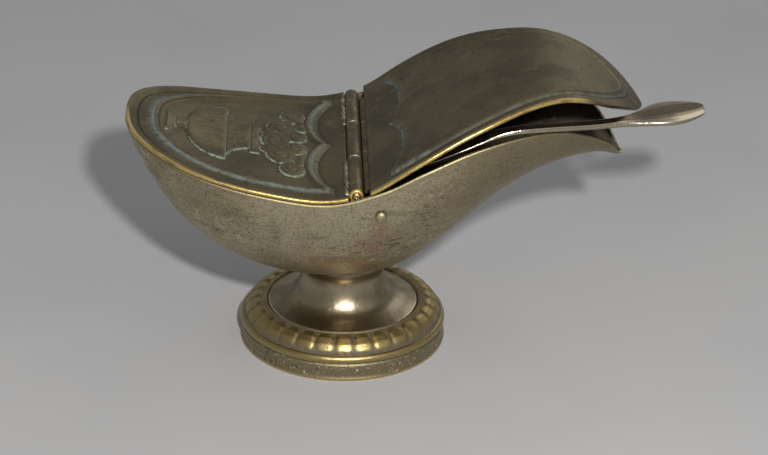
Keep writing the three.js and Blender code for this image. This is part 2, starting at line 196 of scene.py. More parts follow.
def new_mesh(name, points, faces, body, nodes=(), attributes=None, hinge_turn=0):
    """A smooth-shaded piece from points in millimetres, which rides on body and stands for nodes."""
    mesh = bpy.data.meshes.new(name)
    x, y, z = np.asarray(points, float).T
    if hinge_turn:
        c, s = math.cos(hinge_turn), math.sin(hinge_turn)
        z = z - HINGE_Z
        x, z = c * x - s * z, s * x + c * z + HINGE_Z
    mesh.from_pydata(row(np.column_stack([x, y, z])).tolist(), [], np.asarray(faces, object).tolist())
    mesh.validate()
    mesh.shade_smooth()
    for key, values in (attributes or {}).items():
        data = mesh.attributes.new(key, "FLOAT", "POINT")
        data.data.foreach_set("value", np.asarray(values, np.float32).ravel())
    piece = bpy.data.objects.new(name, mesh)
    bpy.context.scene.collection.objects.link(piece)
    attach(piece, body)
    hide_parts(*nodes)
    return piece


def grid_faces(rows, columns, wrap=False, flip=False):
    """Quads over a grid of rows by columns, joined round its columns if wrap is set."""
    i, j = np.meshgrid(np.arange(rows - 1), np.arange(columns if wrap else columns - 1), indexing="ij")
    k = (j + 1) % columns
    here, above = i * columns, (i + 1) * columns
    quads = np.stack([here + j, here + k, above + k, above + j], -1)
    quads = quads.reshape(-1, 4)
    return quads[:, ::-1] if flip else quads


def closed_rings(rings):
    """(points, faces) of a closed body through rings of equally many points, with a fan at each end."""
    rings = np.asarray(rings, float)
    count, size = rings.shape[:2]
    points = np.vstack([rings.reshape(-1, 3), rings[0].mean(0), rings[-1].mean(0)])
    faces = grid_faces(count, size, wrap=True).tolist()
    last = (count - 1) * size
    for j in range(size):
        k = (j + 1) % size
        faces.append([count * size, k, j])
        faces.append([count * size + 1, last + j, last + k])
    return points, faces


def turned(profile, segments):
    """Grids of radius, height and angle for a (radius, height) profile on a lathe, and the faces that
    close it from its last point to its first."""
    angles = np.linspace(0, 2 * math.pi, segments, endpoint=False)
    radius, height = np.array(profile, float).T[:, :, None] + 0 * angles
    faces = grid_faces(len(profile) + 1, segments, wrap=True) % radius.size
    return radius, height, angles + 0 * radius, faces


def revolve(profile, segments, lift):
    """(points, faces) of a closed (radius, z) profile turned about the foot's axis, anticlockwise in
    the (radius, z) plane. lift(radius, z, angle) gives the height that each point gets."""
    radius, z, angle, faces = turned(profile, segments)
    z = lift(radius, z, angle)
    points = np.stack([FOOT_X + radius * np.cos(angle), radius * np.sin(angle), z], -1)
    return points.reshape(-1, 3), faces


def bar_along_y(profile, segments=64):
    """(points, faces) of a closed (radius, y) profile turned about the hinge's axis."""
    radius, y, angle, faces = turned(profile, segments)
    points = np.stack([radius * np.cos(angle), y, HINGE_Z + radius * np.sin(angle)], -1)
    return points.reshape(-1, 3), faces[:, ::-1]


def thicken(piece, thickness, back=0, rim=0):
    """Gives a sheet its thickness on the inner side. back and rim are material indices."""
    solid = piece.modifiers.new("sheet", "SOLIDIFY")
    solid.thickness = thickness * MM
    solid.offset = -1
    solid.material_offset = back
    solid.material_offset_rim = rim


def soften(piece, width, segments=2):
    """Rounds the hard edges of a CAD piece."""
    bevel = piece.modifiers.new("soft_edges", "BEVEL")
    bevel.width = width * MM
    bevel.segments = segments
    bevel.limit_method = "ANGLE"
    bevel.angle_limit = math.radians(35)


# ---------------------------------------------------------------- materials


class Metal:
    """A metal surface built up in layers: each layer covers what is under it where its mask is 1."""

    def __init__(self, name, colour, roughness=0.4, metallic=1.0):
        self.material = bpy.data.materials.new(name)
        self.material.use_nodes = True
        self.material.diffuse_color = (*colour, 1)
        self.tree = self.material.node_tree
        self.shader = self.tree.nodes["Principled BSDF"]
        self.place = self.add("ShaderNodeTexCoord").outputs["Object"]
        self.colour = (*colour, 1)
        self.roughness = roughness
        self.metallic = metallic
        self.height = None

    def add(self, kind, settings=None, **inputs):
        node = self.tree.nodes.new(kind)
        for key, value in (settings or {}).items():
            setattr(node, key, value)
        for key, value in inputs.items():
            self.feed(node.inputs[key.replace("_", " ")], value)
        return node

    def feed(self, socket, value):
        if isinstance(value, bpy.types.NodeSocket):
            self.tree.links.new(value, socket)
        else:
            socket.default_value = value

    def noise(self, size, low=0.45, high=0.6, detail=4, stretch=(1, 1, 1), rough=0.55):
        """A mask of patches about size millimetres across: 0 below low, 1 above high."""
        shift = [random.uniform(-9, 9) for _ in range(3)]
        scale = [s / (size * MM) for s in stretch]
        where = self.add("ShaderNodeMapping", Vector=self.place, Scale=scale, Location=shift)
        pattern = self.add("ShaderNodeTexNoise", Vector=where.outputs[0], Scale=1.0, Detail=detail,
                           Roughness=rough)
        return self.between(pattern.outputs["Fac"], low, high)

    def between(self, value, low, high, start=0.0, end=1.0):
        node = self.add("ShaderNodeMapRange", {"interpolation_type": "SMOOTHSTEP"}, Value=value,
                        From_Min=low, From_Max=high, To_Min=start, To_Max=end)
        return node.outputs[0]

    def attribute(self, name, low=0.0, high=1.0):
        node = self.add("ShaderNodeAttribute", {"attribute_name": name})
        return self.between(node.outputs["Fac"], low, high)

    def math(self, operation, a, b=0.0):
        node = self.tree.nodes.new("ShaderNodeMath")
        node.operation = operation
        self.feed(node.inputs[0], a)
        self.feed(node.inputs[1], b)
        return node.outputs[0]

    def times(self, a, b):
        return self.math("MULTIPLY", a, b)

    def mix(self, a, b, mask, kind="FLOAT"):
        node = self.tree.nodes.new("ShaderNodeMix")
        node.data_type = kind
        sockets = [s for s in node.inputs if s.type == {"FLOAT": "VALUE", "RGBA": "RGBA"}[kind]]
        low, high = sockets[-2:]
        self.feed(node.inputs[0], mask)
        self.feed(low, a)
        self.feed(high, b)
        return next(s for s in node.outputs if s.type == low.type)

    def layer(self, mask, colour=None, roughness=None, metallic=None):
        if colour is not None:
            self.colour = self.mix(self.colour, (*colour, 1), mask, "RGBA")
        if roughness is not None:
            self.roughness = self.mix(self.roughness, roughness, mask)
        if metallic is not None:
            self.metallic = self.mix(self.metallic, metallic, mask)

    def relief(self, mask, millimetres):
        """Raises the surface's shading by that much where the mask is 1."""
        lifted = self.times(mask, millimetres * MM)
        self.height = lifted if self.height is None else self.math("ADD", self.height, lifted)

    def scratches(self, size, depth, stretch=(0.12, 2.2, 2.2)):
        """Fine lines, long in the direction where stretch is small."""
        self.relief(self.noise(size, 0.62, 0.7, detail=2, stretch=stretch), -depth)

    def done(self):
        self.feed(self.shader.inputs["Base Color"], self.colour)
        self.feed(self.shader.inputs["Roughness"], self.roughness)
        self.feed(self.shader.inputs["Metallic"], self.metallic)
        if self.height is not None:
            bump = self.add("ShaderNodeBump", Strength=1.0, Distance=1.0, Height=self.height)
            self.feed(self.shader.inputs["Normal"], bump.outputs["Normal"])
        return self.material


DARK = (0.045, 0.036, 0.024)
UMBER = (0.1, 0.078, 0.045)
SLATE = (0.16, 0.19, 0.18)
VERDIGRIS = (0.26, 0.33, 0.29)
GOLD = (0.78, 0.58, 0.2)
COPPER = (0.5, 0.28, 0.17)
SILVER = (0.6, 0.54, 0.41)


def pits_and_grain(metal, pit_size=1.1, amount=0.64, depth=0.06):
    """Small dark pits, and the faint unevenness of old hand-worked metal."""
    pits = metal.noise(pit_size, amount, amount + 0.05, detail=3)
    metal.layer(pits, colour=DARK, roughness=0.7, metallic=0.4)
    metal.relief(pits, -depth)
    metal.relief(metal.noise(4, 0.3, 0.7, detail=5), 0.05)
    metal.relief(metal.noise(0.35, 0.3, 0.7, detail=2), 0.012)


def worn_silver():
    metal = Metal("worn_silver", (0.48, 0.42, 0.29), 0.4)
    metal.layer(metal.noise(38, 0.42, 0.6), colour=(0.36, 0.31, 0.2), roughness=0.46)
    metal.layer(metal.noise(16, 0.57, 0.7), colour=(0.4, 0.29, 0.2), roughness=0.42)
    metal.layer(metal.noise(9, 0.5, 0.7, stretch=(0.35, 1, 1.6)), colour=(0.3, 0.265, 0.17),
                roughness=0.5)
    metal.layer(metal.noise(5, 0.6, 0.75), colour=(0.54, 0.5, 0.37), roughness=0.36)
    grime = metal.times(metal.noise(1.3, 0.52, 0.64, stretch=(0.4, 1, 1.5)), metal.noise(20, 0.4, 0.62))
    metal.layer(metal.times(grime, 0.6), colour=UMBER, roughness=0.6)
    metal.layer(metal.times(metal.noise(0.7, 0.48, 0.62), 0.4), colour=UMBER, roughness=0.6)
    metal.layer(metal.times(metal.noise(0.8, 0.62, 0.67), metal.noise(26, 0.42, 0.6)), colour=DARK,
                roughness=0.6)
    metal.layer(metal.times(metal.attribute("prow"), 0.75), colour=(0.22, 0.18, 0.11), roughness=0.48)
    metal.layer(metal.attribute("near_rim", 0.55, 1.0), colour=(0.3, 0.25, 0.14), roughness=0.45)
    metal.layer(metal.noise(2.6, 0.74, 0.765), colour=VERDIGRIS, roughness=0.8, metallic=0.1)
    pits_and_grain(metal, 0.75, 0.68, 0.04)
    metal.scratches(3, 0.012, stretch=(0.16, 1, 2.6))
    return metal.done()


def bowl_inside():
    metal = Metal("bowl_inside", (0.17, 0.135, 0.095), 0.6, 0.8)
    metal.layer(metal.noise(14, 0.45, 0.62), colour=DARK, roughness=0.75)
    metal.layer(metal.noise(5, 0.6, 0.7), colour=(0.3, 0.25, 0.18), roughness=0.5)
    pits_and_grain(metal)
    return metal.done()


def rim_silver():
    metal = Metal("rim_silver", (0.5, 0.45, 0.33), 0.34)
    metal.layer(metal.noise(6, 0.48, 0.62), colour=(0.2, 0.165, 0.1), roughness=0.5)
    # Painted shade: the rim is painted dark where the stern cover lies over it.
    metal.layer(metal.attribute("shade_under_cover"), colour=DARK, roughness=0.8, metallic=0.3)
    pits_and_grain(metal, 0.7)
    return metal.done()


def dark_bronze():
    metal = Metal("dark_bronze", (0.17, 0.145, 0.085), 0.42, 0.9)
    metal.layer(metal.noise(22, 0.42, 0.62), colour=(0.12, 0.105, 0.066), roughness=0.5)
    metal.layer(metal.noise(7, 0.52, 0.72), colour=(0.2, 0.165, 0.09), roughness=0.4)
    metal.layer(metal.noise(1.5, 0.6, 0.68), colour=UMBER, roughness=0.55)
    high = metal.times(metal.attribute("high", 0.4, 1.0), metal.noise(3, 0.3, 0.55))
    metal.layer(metal.times(high, 0.7), colour=(0.26, 0.205, 0.11), roughness=0.36)
    patina_and_shade = metal.times(metal.attribute("patina_and_shade", 0.1, 0.9), metal.noise(2.4, 0.25, 0.6))
    metal.layer(patina_and_shade, colour=SLATE, roughness=0.7, metallic=0.4)
    crust = metal.times(metal.attribute("crust", 0.1, 0.75), metal.noise(1.6, 0.32, 0.5))
    metal.layer(crust, colour=VERDIGRIS, roughness=0.85, metallic=0.1)
    metal.layer(metal.attribute("line", 0.3, 0.9), colour=DARK, roughness=0.8, metallic=0.3)
    # The gold on worn edges is real wear, painted brighter on the near side, as painted light.
    edge = metal.times(metal.attribute("edge", 0.2, 0.8), metal.noise(7, 0.25, 0.5))
    metal.layer(edge, colour=(0.6, 0.45, 0.17), roughness=0.32)
    green = metal.times(metal.noise(4, 0.6, 0.7), metal.noise(20, 0.56, 0.66))
    metal.layer(metal.times(green, 0.5), colour=(0.13, 0.17, 0.1), roughness=0.7, metallic=0.5)
    pits_and_grain(metal, 0.9, 0.68, 0.04)
    metal.scratches(2.5, 0.01)
    return metal.done()


def gold_edge():
    metal = Metal("gold_edge", GOLD, 0.3)
    metal.layer(metal.noise(8, 0.5, 0.66), colour=(0.4, 0.28, 0.11), roughness=0.45)
    # Painted shade: the gold edge is painted dark on the far side of each cover, and on the lid also
    # towards its tip.
    metal.layer(metal.attribute("edge_shade"), colour=(0.15, 0.125, 0.075), roughness=0.45)
    pits_and_grain(metal, 0.6, 0.66)
    return metal.done()


def hinge_brass():
    metal = Metal("hinge_brass", (0.22, 0.175, 0.095), 0.42, 0.95)
    metal.layer(metal.noise(5, 0.45, 0.62), colour=(0.15, 0.125, 0.09), roughness=0.5)
    metal.layer(metal.noise(2, 0.6, 0.7), colour=(0.42, 0.38, 0.3), roughness=0.35)
    metal.layer(metal.attribute("edge", 0.2, 0.8), colour=(0.36, 0.33, 0.25), roughness=0.4)
    metal.layer(metal.attribute("gilt"), colour=GOLD, roughness=0.34)
    pits_and_grain(metal, 0.7)
    metal.scratches(1.6, 0.01)
    return metal.done()


def pin_brass():
    metal = Metal("pin_brass", (0.56, 0.43, 0.22), 0.34)
    metal.layer(metal.noise(1.2, 0.5, 0.62), colour=(0.25, 0.18, 0.1), roughness=0.5)
    pits_and_grain(metal, 0.6)
    return metal.done()


def foot_brass():
    metal = Metal("foot_brass", (0.34, 0.26, 0.12), 0.42)
    metal.layer(metal.noise(9, 0.45, 0.62), colour=(0.26, 0.2, 0.1), roughness=0.48)
    metal.layer(metal.attribute("high", 0.35, 1.0), colour=(0.43, 0.335, 0.15), roughness=0.37)
    dull = metal.times(metal.attribute("patina_and_shade", 0.15, 0.85), metal.noise(1.8, 0.25, 0.5))
    metal.layer(dull, colour=(0.16, 0.145, 0.11), roughness=0.7, metallic=0.5)
    band = metal.attribute("band", 0.3, 0.7)
    metal.layer(band, colour=(0.25, 0.21, 0.125), roughness=0.5, metallic=0.9)
    metal.layer(metal.times(band, metal.noise(1.6, 0.62, 0.67)), colour=(0.12, 0.1, 0.065),
                roughness=0.7)
    metal.layer(metal.times(band, metal.noise(0.7, 0.6, 0.65)), colour=(0.5, 0.47, 0.38), roughness=0.6,
                metallic=0.4)
    metal.layer(metal.attribute("edge", 0.3, 0.8), colour=(0.52, 0.4, 0.17), roughness=0.34)
    pits_and_grain(metal, 1.0, 0.66)
    metal.scratches(2, 0.012, stretch=(0.5, 0.5, 2.6))
    return metal.done()


def polished_silver(name, colour, tarnish):
    metal = Metal(name, colour, 0.3)
    metal.layer(metal.noise(14, 0.45, 0.64), colour=tarnish, roughness=0.36)
    metal.layer(metal.noise(4, 0.58, 0.7), colour=(0.36, 0.26, 0.18), roughness=0.34)
    # Painted highlight: this makes the stem's lower ring and the spoon's edges lighter and glossier.
    metal.layer(metal.attribute("high", 0.3, 1.0), colour=SILVER, roughness=0.2)
    # Patina in recesses and the spoon's mark, and painted shade: the stem's top under the bowl, the
    # spoon's flat top and its underside are painted darker.
    metal.layer(metal.attribute("patina_and_shade", 0.2, 0.9), colour=(0.1, 0.08, 0.055), roughness=0.6,
                metallic=0.6)
    pits_and_grain(metal, 0.9, 0.67, 0.03)
    metal.scratches(2, 0.008, stretch=(1.4, 1.4, 0.4))
    return metal.done()


def dull_steel():
    metal = Metal("dull_steel", (0.33, 0.31, 0.28), 0.5)
    metal.layer(metal.noise(4, 0.5, 0.65), colour=(0.2, 0.13, 0.08), roughness=0.75, metallic=0.4)
    pits_and_grain(metal, 0.8)
    return metal.done()


def solder_grey():
    metal = Metal("solder", (0.5, 0.46, 0.37), 0.42, 0.95)
    metal.layer(metal.noise(3, 0.45, 0.62), colour=(0.2, 0.17, 0.12), roughness=0.6)
    metal.layer(metal.noise(2, 0.58, 0.68), colour=COPPER, roughness=0.45)
    pits_and_grain(metal, 0.6)
    return metal.done()


WORN_SILVER = worn_silver()
BOWL_INSIDE = bowl_inside()
RIM_SILVER = rim_silver()
DARK_BRONZE = dark_bronze()
GOLD_EDGE = gold_edge()
HINGE_BRASS = hinge_brass()
PIN_BRASS = pin_brass()
FOOT_BRASS = foot_brass()
STEM_SILVER = polished_silver("stem_silver", (0.37, 0.315, 0.22), (0.24, 0.195, 0.13))
SPOON_SILVER = polished_silver("spoon_silver", (0.32, 0.26, 0.175), (0.17, 0.13, 0.085))
DULL_STEEL = dull_steel()
SOLDER = solder_grey()


def coat(piece, *materials):
    """Puts these materials on a piece, in place of any that it has."""
    piece.data.materials.clear()
    for material in materials:
        piece.data.materials.append(material)


# ---------------------------------------------------------------- bowl


def bowl_skin(xs, angles):
    """(points, depth under the rim) of the bowl's outside, from the near rim at angle 0 round the keel
    to the far rim at pi."""
    x, angle = np.meshgrid(xs, angles, indexing="ij")
    half_width = np.maximum(bowl_half_width(x), 0.25)
    rim = bowl_sheer(x)
    keel = np.minimum(bowl_keel(x), rim - 0.2)
    across = -np.sign(np.cos(angle)) * np.abs(np.cos(angle)) ** (2 / SECTION_POWER)
    down = np.sin(angle) ** (2 / SECTION_POWER)
    height = rim - keel
    return np.stack([x, half_width * across, rim - height * down], -1), np.clip(down, 0, 1) * height


def bowl_underside(x, y):
    """Height of the bowl's outside, seen from below."""
    rim, keel = bowl_sheer(x), bowl_keel(x)
    share = np.clip(np.abs(y) / bowl_half_width(x), 0, 1)
    return rim - (rim - keel) * (1 - share**SECTION_POWER) ** (1 / SECTION_POWER)


def make_bowl():
    xs = stations(BOWL_SHEER[0][0] + TIP_TRIM, BOWL_SHEER[-1][0] - TIP_TRIM, 230)
    angles = np.linspace(0, math.pi, 181)
    points, depth = bowl_skin(xs, angles)
    x, y, z = points[..., 0], points[..., 1], points[..., 2]
    inward = 0.12 * (1 + ripple(x, y + z, 22, 3)) * step(depth, 0, 6)
    points[..., 1] -= np.sign(y) * inward * np.minimum(1, np.abs(y) / 6)
    # Besides near_rim and prow, the bowl gets a mask of painted shade on its rim under the stern cover.
    piece = new_mesh(
        "bowl_shell", points.reshape(-1, 3), grid_faces(*x.shape), "hull", ["bowl"],
        {"near_rim": 1 - step(depth, 0, 3), "shade_under_cover": step(-x, 0, 4), "prow": step(x, 5, 60)},
    )
    coat(piece, WORN_SILVER, BOWL_INSIDE, RIM_SILVER)
    thicken(piece, SHEET, back=1, rim=2)


# ---------------------------------------------------------------- covers

COVER_COLUMNS = 231


def distance_to(outline, x, y):
    """Distance from each point to a line through the outline's points."""
    best = np.full(x.shape, 1e9)
    for (ax, ay), (bx, by) in zip(outline[:-1], outline[1:]):
        length2 = (bx - ax) ** 2 + (by - ay) ** 2
        t = np.clip(((x - ax) * (bx - ax) + (y - ay) * (by - ay)) / length2, 0, 1)
        best = np.minimum(best, np.hypot(x - ax - t * (bx - ax), y - ay - t * (by - ay)))
    return best


def outline_of(half_width, hinge_x, tip_x):
    """The plan outline of a cover, from its far hinge corner round the tip to its near one."""
    xs = stations(hinge_x, tip_x, 60, blunt_start=False)[:-1]
    far = [(x, float(half_width(x))) for x in xs]
    return [*far, (tip_x, 0.0), *((x, -w) for x, w in reversed(far))]


def scallops(y, x_corner, depth, half_width):
    """A border of two arcs that meet in a cusp on the middle line. depth is how far they bulge."""
    share = np.clip(np.abs(y) / half_width, 0, 1)
    return x_corner + depth * np.sin(math.pi * share) ** 0.7


def dome(x, y, cx, cy, rx, ry):
    """A low rounded mound of height 1."""
    return np.sqrt(np.clip(1 - ((x - cx) / rx) ** 2 - ((y - cy) / ry) ** 2, 0, 1))


# The brazier lies on its side along the middle line, foot towards the stern: (x, half width).
BRAZIER = [
    (-60, 8.5), (-58.6, 8), (-57.2, 5), (-55.4, 2.8), (-53.6, 3), (-52.8, 7), (-51, 12.5), (-48, 17),
    (-44.5, 19.2), (-41, 19.8), (-40.2, 16), (-37.5, 11.6), (-34.4, 9.4), (-33.4, 9.6), (-32.8, 11.6),
    (-29.8, 11.8),
]
BRAZIER_RINGS = (-56.8, -53.1, -40.7, -33.2)
BRAZIER_HEIGHT = 1.1
PUFF_HEIGHT = 0.95
# The puffs of smoke: middle and half sizes. Those off the middle line are on both sides of it.
PUFFS = [
    (-25, 0, 5, 7), (-23, 10.5, 5.2, 6.4), (-19.6, 20, 4.2, 5.6), (-18.6, 4.6, 3.8, 4.6),
    (-16.4, 12.8, 3, 4.2), (-27.2, 6.8, 3, 3.4),
]


def brazier_relief(x, y):
    """(height, groove) of the stern cover's relief: a brazier and the smoke over it."""
    half = np.interp(x, *spline(BRAZIER).T, left=0, right=0)
    share = np.abs(y) / np.maximum(half, 0.01)
    body = np.where(share < 1, np.sqrt(np.clip(1 - share**2, 0, 1)), 0)
    start, end = BRAZIER[0][0], BRAZIER[-1][0]
    ends = step(x, start, start + 0.8) * (1 - step(x, end - 0.6, end))
    height = BRAZIER_HEIGHT * body**0.6 * ends
    groove = np.zeros_like(x)
    for ring_x in BRAZIER_RINGS:
        groove = np.maximum(groove, ridge(x, ring_x, 0.45) * (share < 1))
    staves = ridge((y / np.maximum(half, 0.5) * 7) % 1, 0.5, 0.22) * step(x, -50, -47) * (x < -41.4)
    neck = ridge((y * 0.55 + x * 0.35) % 1, 0.5, 0.25) * (x > -40) * (x < -33.8)
    groove = np.maximum(groove, np.maximum(0.22 * staves, 0.5 * neck) * (share < 0.93))
    for cx, cy, rx, ry in PUFFS:
        for side in (-1, 1) if cy else (1,):
            dx, dy = (x - cx) / rx, (side * y - cy) / ry
            puff = dome(dx, dy, 0, 0, 1, 1) ** 0.7
            height = np.maximum(height, PUFF_HEIGHT * puff)
            turn = np.hypot(dx, dy) * 1.7 - np.arctan2(dy, dx) / (2 * math.pi)
            curl = ridge(turn % 1, 0.5, 0.16) * (puff > 0.3)
            groove = np.where(puff > 0, np.maximum(groove * (puff < 0.3), 0.7 * curl), groove)
    return height, groove


def cover_sheet(name, body, node, xs, ends, half_width, sheer, relief, hinge_turn=0):
    """A thin embossed cover. ends are its hinge end and its tip. relief(x, y, inset) gives its height
    and its material attributes, where inset is the distance from its outline."""
    across = stations(-1, 1, COVER_COLUMNS) * 0.35 + np.linspace(-1, 1, COVER_COLUMNS) * 0.65
    x, share = np.meshgrid(xs, across, indexing="ij")
    y = share * np.maximum(half_width(x), 0.4)
    outline = outline_of(half_width, *ends)
    inset = distance_to(outline, x, y)
    height, attributes = relief(x, y, inset)
    z = sheer(x) + GAP + SHEET + height + 0.1 * ripple(x, y, 17, 5) * step(inset, 0, 8)
    points = np.stack([x, y, z], -1).reshape(-1, 3)
    piece = new_mesh(name, points, grid_faces(*x.shape, flip=True), body, [node],
                     attributes, hinge_turn)
    coat(piece, DARK_BRONZE, DARK_BRONZE, GOLD_EDGE)
    thicken(piece, SHEET, back=1, rim=2)
    return piece


def stern_relief(x, y, inset):
    """A groove, a slope and a crest all round, and inside them a sunk floor with the brazier on it."""
    tip_width = 2.6 * step(-x, 40, 66)
    hinge_side = scallops(y, -9.4, -5, 32) - x + 6.5
    plate = (hinge_side <= 0) | (hinge_side < inset)
    inside = np.where(plate, np.maximum(hinge_side, 0), inset)
    ramp_end = 6.2 + tip_width
    line = ridge(inside, 3.5, 0.5)
    slope = step(inside, 3.9, ramp_end)
    crest = ridge(inside, ramp_end + 0.7, 1.0)
    floor = step(inside, ramp_end + 1.4, ramp_end + 2.2)
    bead = ridge(inset, 0.4, 0.9)
    drawn, groove = brazier_relief(x, y)
    drawn = drawn * floor
    border_height = -0.4 * line + 0.7 * slope + 0.5 * crest
    height = border_height - 0.35 * floor + drawn - 0.35 * groove * floor + 0.12 * bead
    crust = np.maximum(floor * ridge(drawn, 0.34, 0.33), 0.55 * groove * floor)
    crust = np.maximum(crust, 0.4 * ridge(inside, ramp_end - 0.4, 0.9))
    return height, {
        "patina_and_shade": 0.9 * slope * (inside < ramp_end + 0.4),
        "crust": crust,
        "high": np.maximum(crest, step(drawn, 0.7, 1.1) * (1 - groove)),
        "line": np.maximum(line, 0.75 * ridge(inside, ramp_end + 1.7, 0.4)),
        # Worn gold edge, painted brighter on the near side as painted light.
        "edge": (1 - step(inset, 0.5, 1.7)) * (0.3 + 0.7 * step(-y, -6, 14)),
        # Painted shade: the gold edge is painted darker on the far side.
        "edge_shade": 0.8 * step(y, 0, 14),
    }


def stern_half_width(x):
    return bowl_half_width(x) + GAP


def make_stern_cover():
    xs = stations(BOWL_SHEER[0][0] + 0.1, COVER_END_X, 215, blunt_end=False)
    ends = (COVER_END_X, BOWL_SHEER[0][0])
    cover_sheet("stern_cover_sheet", "hull", "stern_cover", xs, ends, stern_half_width, bowl_sheer,
                stern_relief)


def lid_relief(x, y, inset):
    """A raised plate inside a plain border."""
    hinge_side = x - scallops(y, 11.5, 4.5, 34)
    border = np.minimum(inset - 4.2, np.where(hinge_side < 12, hinge_side, 99))
    rise = step(border, 0, 1.4)
    line = ridge(border, -0.2, 0.45)
    crest = ridge(border, 1.6, 0.8)
    second = ridge(border, -2.2, 0.5) * (x < 24)
    height = 0.65 * rise - 0.3 * line + 0.25 * crest - 0.2 * second
    return height, {
        "patina_and_shade": 0.55 * ridge(border, 0.5, 0.9) + 0.35 * ridge(border, 0.4, 1.6) * (x < 24),
        "crust": 0.3 * ridge(border, 0.2, 0.5),
        "high": crest,
        "line": np.maximum(0.9 * line, 0.6 * second),
        # Worn gold edge, painted brighter on the near side as painted light, and fading out towards the
        # tip.
        "edge": (1 - step(inset, 0.5, 1.9)) * (0.3 + 0.7 * step(-y, -4, 8)) * (1 - step(x, 68, 80)),
        # Painted shade: the gold edge is painted darker on the far side, and darker towards the tip as
        # well.
        "edge_shade": np.maximum(step(x, 70, 80), 0.6 * step(y, 0, 14)),
    }


def make_lid():
    xs = stations(LID_START_X, LID_SHEER[-1][0] - 0.1, 225, blunt_start=False)
    ends = (LID_START_X, LID_SHEER[-1][0])
    cover_sheet("prow_lid_sheet", "lid", "prow_lid", xs, ends, lid_half_width, lid_sheer, lid_relief,
                LID_AJAR)


# ---------------------------------------------------------------- hinge


def tube_profile(y0, y1, chamfer=0.3):
    """A tube between two heights, with a fine groove near each end."""
    outer = [(KNUCKLE_R - chamfer, y0), (KNUCKLE_R, y0 + chamfer)]
    for groove_y in (y0 + KNUCKLE_GROOVE_IN, y1 - KNUCKLE_GROOVE_IN):
        for offset, depth in ((-0.2, 0), (0, KNUCKLE_GROOVE_DEPTH), (0.2, 0)):
            outer.append((KNUCKLE_R - depth, groove_y + offset))
    outer += [(KNUCKLE_R, y1 - chamfer), (KNUCKLE_R - chamfer, y1)]
    return outer + [(KNUCKLE_BORE_R, y1), (KNUCKLE_BORE_R, y0)]


def make_knuckle(name, node, body, y0, y1):
    points, faces = bar_along_y(tube_profile(y0, y1))
    edge = 1 - step(np.minimum(points[:, 1] - y0, y1 - points[:, 1]), 0.3, 1.0)
    gilt = 1 - step(points[:, 1] + HINGE_HALF_LENGTH, 0.3, 1.6)
    piece = new_mesh(name, points, faces, body, [node], {"edge": edge, "gilt": gilt})
    coat(piece, HINGE_BRASS)


def make_hinge():
    near_end = CENTRE_KNUCKLE_HALF + GAP
    make_knuckle("knuckle_near", "hinge_knuckle_near", "hull", -HINGE_HALF_LENGTH, -near_end)
    make_knuckle("knuckle_far", "hinge_knuckle_far", "hull", near_end, HINGE_HALF_LENGTH)
    make_knuckle("knuckle_centre", "hinge_knuckle_centre", "lid", -CENTRE_KNUCKLE_HALF,
                 CENTRE_KNUCKLE_HALF)
    end = HINGE_HALF_LENGTH + GAP
    half = [(PIN_R, end - 0.4), (1.05, end - 0.12), (0.7, end), (NEEDLE_R, end)]
    profile = [*((radius, -y) for radius, y in reversed(half)), *half]
    points, faces = bar_along_y(profile, 40)
    piece = new_mesh("pin", points, faces, "hull", ["hinge_pin"])
    coat(piece, PIN_BRASS)


SOLDER_R = 0.62
SOLDER_X = -2.9
SOLDER_Z = HINGE_Z + 0.3


def make_solder():
    """The uneven fillet of solder between the fixed cover and the two outer knuckles."""
    for name, sign in (("solder_near", -1), ("solder_far", 1)):
        ys = np.linspace(CENTRE_KNUCKLE_HALF + 1, HINGE_HALF_LENGTH - 0.6, 90)
        angles = np.linspace(0, 2 * math.pi, 14, endpoint=False)
        rings = []
        for y in ys[::sign]:
            radius = SOLDER_R + 0.14 * math.sin(y * 1.7) + 0.08 * math.sin(y * 4.1 + 1)
            across = SOLDER_X + 1.1 * radius * np.cos(angles)
            up = SOLDER_Z + radius * np.sin(angles)
            rings.append(np.column_stack([across, np.full(len(angles), sign * y), up]))
        points, faces = closed_rings(rings)
        piece = new_mesh(name, points, [f[::-1] for f in faces], "hull")
        coat(piece, SOLDER)


# ---------------------------------------------------------------- rivets


def make_rivet(name, node, sign):
    """A domed head outside the bowl, a shank through wall and strap, and a flattened tail inside."""
    low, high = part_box(node)
    outside = (high.y if sign > 0 else -low.y) / MM
    inside = (low.y if sign > 0 else -high.y) / MM
    under_head = outside - RIVET_HEAD_HEIGHT
    arc = np.linspace(0, math.pi / 2, 12)
    head = [(RIVET_HEAD_R * math.cos(a), under_head + RIVET_HEAD_HEIGHT * math.sin(a)) for a in arc[:-1]]
    profile = [
        (NEEDLE_R, inside), (RIVET_TAIL_R - 0.3, inside), (RIVET_TAIL_R, inside + 0.25),
        (RIVET_TAIL_R, inside + RIVET_TAIL_HEIGHT), (RIVET_SHANK_R, inside + RIVET_TAIL_HEIGHT),
        (RIVET_SHANK_R, under_head), *head, (NEEDLE_R, outside),
    ]
    segments = 40
    radius, y, angle, _ = turned(profile, segments)
    points = np.stack([RIVET_X + radius * np.cos(angle), sign * y, RIVET_Z + radius * np.sin(angle)], -1)
    faces = grid_faces(len(profile), segments, wrap=True, flip=sign > 0)
    piece = new_mesh(name, points.reshape(-1, 3), faces, "hull", [node],
                     {"near_rim": np.zeros(radius.size)})
    coat(piece, WORN_SILVER)


# ---------------------------------------------------------------- stem and foot


